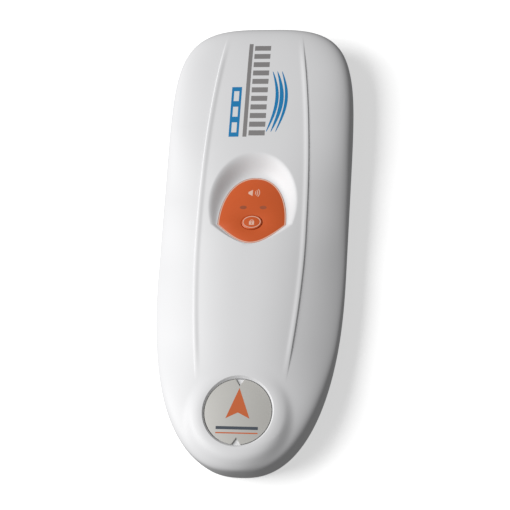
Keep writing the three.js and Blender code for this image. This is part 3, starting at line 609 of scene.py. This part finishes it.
def rect(x0, x1, y0, y1, step=1.5):
    """A rectangle's edge, cut into short steps so that it follows a curved surface."""
    def side(a, b):
        count = max(1, int(math.dist(a, b) / step))
        return [(a[0] + (b[0] - a[0]) * i / count, a[1] + (b[1] - a[1]) * i / count) for i in range(count)]

    corners = [(x0, y0), (x1, y0), (x1, y1), (x0, y1)]
    return np.array(sum((side(a, b) for a, b in zip(corners, corners[1:] + corners[:1])), []))


def on_casing(thick):
    return lambda x, y: lift(np.column_stack([x, y]), top_height(x, y) + thick)


def on_dial(thick):
    return lambda x, y: np.column_stack([x, DIAL_Y + y, np.full(len(x), DIAL_FACE_Z + thick)])


def sector(centre, inner, outer, start, stop, count=16):
    """Part of a ring, between two angles in degrees."""
    a = np.linspace(math.radians(start), math.radians(stop), count)
    ring = [(centre[0] + outer * math.cos(t), centre[1] + outer * math.sin(t)) for t in a]
    ring += [(centre[0] + inner * math.cos(t), centre[1] + inner * math.sin(t)) for t in a[::-1]]
    return np.array(ring)


def swoosh(shift, width, low=83, length=50):
    """A curved stripe that tapers at both ends."""
    y = np.linspace(low, low + length, 40)
    bow = 9.5 + 6.5 * np.sin((y - low) / length * math.pi * 0.9) + shift
    half = width * np.sin((y - low) / length * math.pi) ** 0.7 / 2 + 0.15
    return np.vstack([np.column_stack([bow - half, y]), np.column_stack([bow + half, y])[::-1]])


def lamp_oval(x):
    turn = np.linspace(0, 2 * math.pi, 33)[:-1]
    return np.column_stack([x + 2.6 * np.cos(turn), 14.6 + 1.5 * np.sin(turn)])


def on_key(thick):
    return in_lens(KEY_PROUD + thick)


rungs = [[rect(-6.8, 5.4, y, y + 4.2)] for y in np.arange(80.0, 154.0, 7.1)]
mark("print_grey", [[rect(-11.2, -8.2, 79, 157)]] + rungs, on_casing, "casing", "white_plastic", INK_GREY)
mark("print_blue", [[swoosh(-3.2, 2.2)], [swoosh(0.3, 2.8)], [swoosh(3.8, 2.0)], [rect(-21.7, -14.2, 79, 120)]],
     on_casing, "casing", "white_plastic", INK_BLUE)
dashes = [[rect(-19.9, -16.0, y, y + 8.2)] for y in (82.5, 95.4, 108.3)]
mark("print_pale", dashes, lambda thick: on_casing(thick + INK_THICK), "casing", "white_plastic", INK_WHITE)

mark("lens_border", [[lens_loop(-0.22), lens_loop(-1.0)]], in_lens, "casing", "orange_plastic", INK_PALE)
speaker = np.array([(-4.6, 26.2), (-1.4, 24.4), (-1.4, 29.6), (-4.6, 27.8)])
waves = [[sector((-1.0, 27), r, r + 0.55, -42, 42)] for r in (1.6, 3.0, 4.4)]
mark("sound_sign", [[speaker]] + waves, in_lens, "casing", "orange_plastic", INK_PALE)
lamps = [[lamp_oval(-7.4)], [lamp_oval(7.4)]]
# The lamp ovals are painted shade, laid on the lens as darker orange.
mark("lamp_windows", lamps, lambda thick: in_lens(thick * 0.5), "casing", "orange_plastic", LAMP_SHADOW)

ring = [key_oval(-1.0), key_oval(-1.55)]
body_loop = rect(-1.9, 1.9, KEY_V - 2.4, KEY_V + 0.4)
shackle = sector((0, KEY_V + 0.4), 1.0, 1.55, 0, 180)
lock = [body_loop, circle(0.5, KEY_V - 1.0, 0, 16)]
mark("key_sign", [ring, lock, [shackle]], on_key, "key", "orange_plastic", INK_PALE)

arrow = np.array([(0, 17.4), (8.6, -5.0), (0, -0.6), (-8.6, -5.0)])
mark("dial_arrow", [[arrow]], on_dial, "dial", "dial_grey", INK_ORANGE)
mark("dial_bars", [[rect(-15, 15, -13.0, -10.8)]], on_dial, "dial", "dial_grey", INK_NAVY)
mark("dial_line", [[rect(-15, 15, -16.0, -15.1)]], on_dial, "dial", "dial_grey", INK_ORANGE)

# ---- Floor, light and camera, in metres ----

FLOOR_SIZE, FLOOR_Z = 14, -0.0003
KEY_LIGHT = {"towards": (-0.72, -0.05, 0.66), "distance": 1.8, "size": 1.3, "power": 36.5}
SKY_STRENGTH = 0.16
CAMERA_BACK, CAMERA_ROLL, CAMERA_DISTANCE = (0.174, -0.3951, 1.0), -0.0674, 1.4
CAMERA_AIM = (0, 0.0051, 0.01785)
CAMERA_LENS, CAMERA_SENSOR, CAMERA_SHIFT = 134.3, 36, (0.0016, -0.0324)

scene = bpy.context.scene
bpy.ops.mesh.primitive_plane_add(size=FLOOR_SIZE, location=(0, 0, FLOOR_Z))
floor = bpy.context.object
floor.name = "floor"
floor_paint = material("floor_paint", (0.93, 0.93, 0.93), 0.9, spread=0.004, bump=0.0,
                       Emission_Color=(1, 1, 1, 1), Emission_Strength=0.5)
floor.data.materials.append(floor_paint)
# The floor catches the shadow and throws no light back on the casing.
floor.visible_diffuse = False
floor.visible_glossy = False


def area(name, towards, distance, size, power):
    """A soft square lamp that looks at the middle of the casing."""
    data = bpy.data.lights.new(name, "AREA")
    data.shape, data.size, data.energy, data.color = "SQUARE", size, power, (1, 1, 1)
    lamp = bpy.data.objects.new(name, data)
    bpy.context.collection.objects.link(lamp)
    back = Vector(towards).normalized()
    lamp.location = back * distance + Vector((0, 0, 0.02))
    lamp.rotation_mode = "QUATERNION"
    lamp.rotation_quaternion = back.to_track_quat("Z", "Y")


area("key", **KEY_LIGHT)
world = bpy.data.worlds.new("studio")
world.use_nodes = True
background = world.node_tree.nodes["Background"]
background.inputs["Color"].default_value = (1, 1, 1, 1)
background.inputs["Strength"].default_value = SKY_STRENGTH
scene.world = world
scene.view_settings.view_transform = "Standard"

back = Vector(CAMERA_BACK).normalized()
up = Vector((math.sin(CAMERA_ROLL), math.cos(CAMERA_ROLL), 0))
up = (up - up.dot(back) * back).normalized()
right = up.cross(back)
lens_data = bpy.data.cameras.new("camera")
lens_data.sensor_width = CAMERA_SENSOR
lens_data.lens = CAMERA_LENS
lens_data.shift_x, lens_data.shift_y = CAMERA_SHIFT
camera = bpy.data.objects.new("camera", lens_data)
bpy.context.collection.objects.link(camera)
place = Vector(CAMERA_AIM) + back * CAMERA_DISTANCE
camera.matrix_world = Matrix.Translation(place) @ Matrix((right, up, back)).transposed().to_4x4()
scene.camera = camera
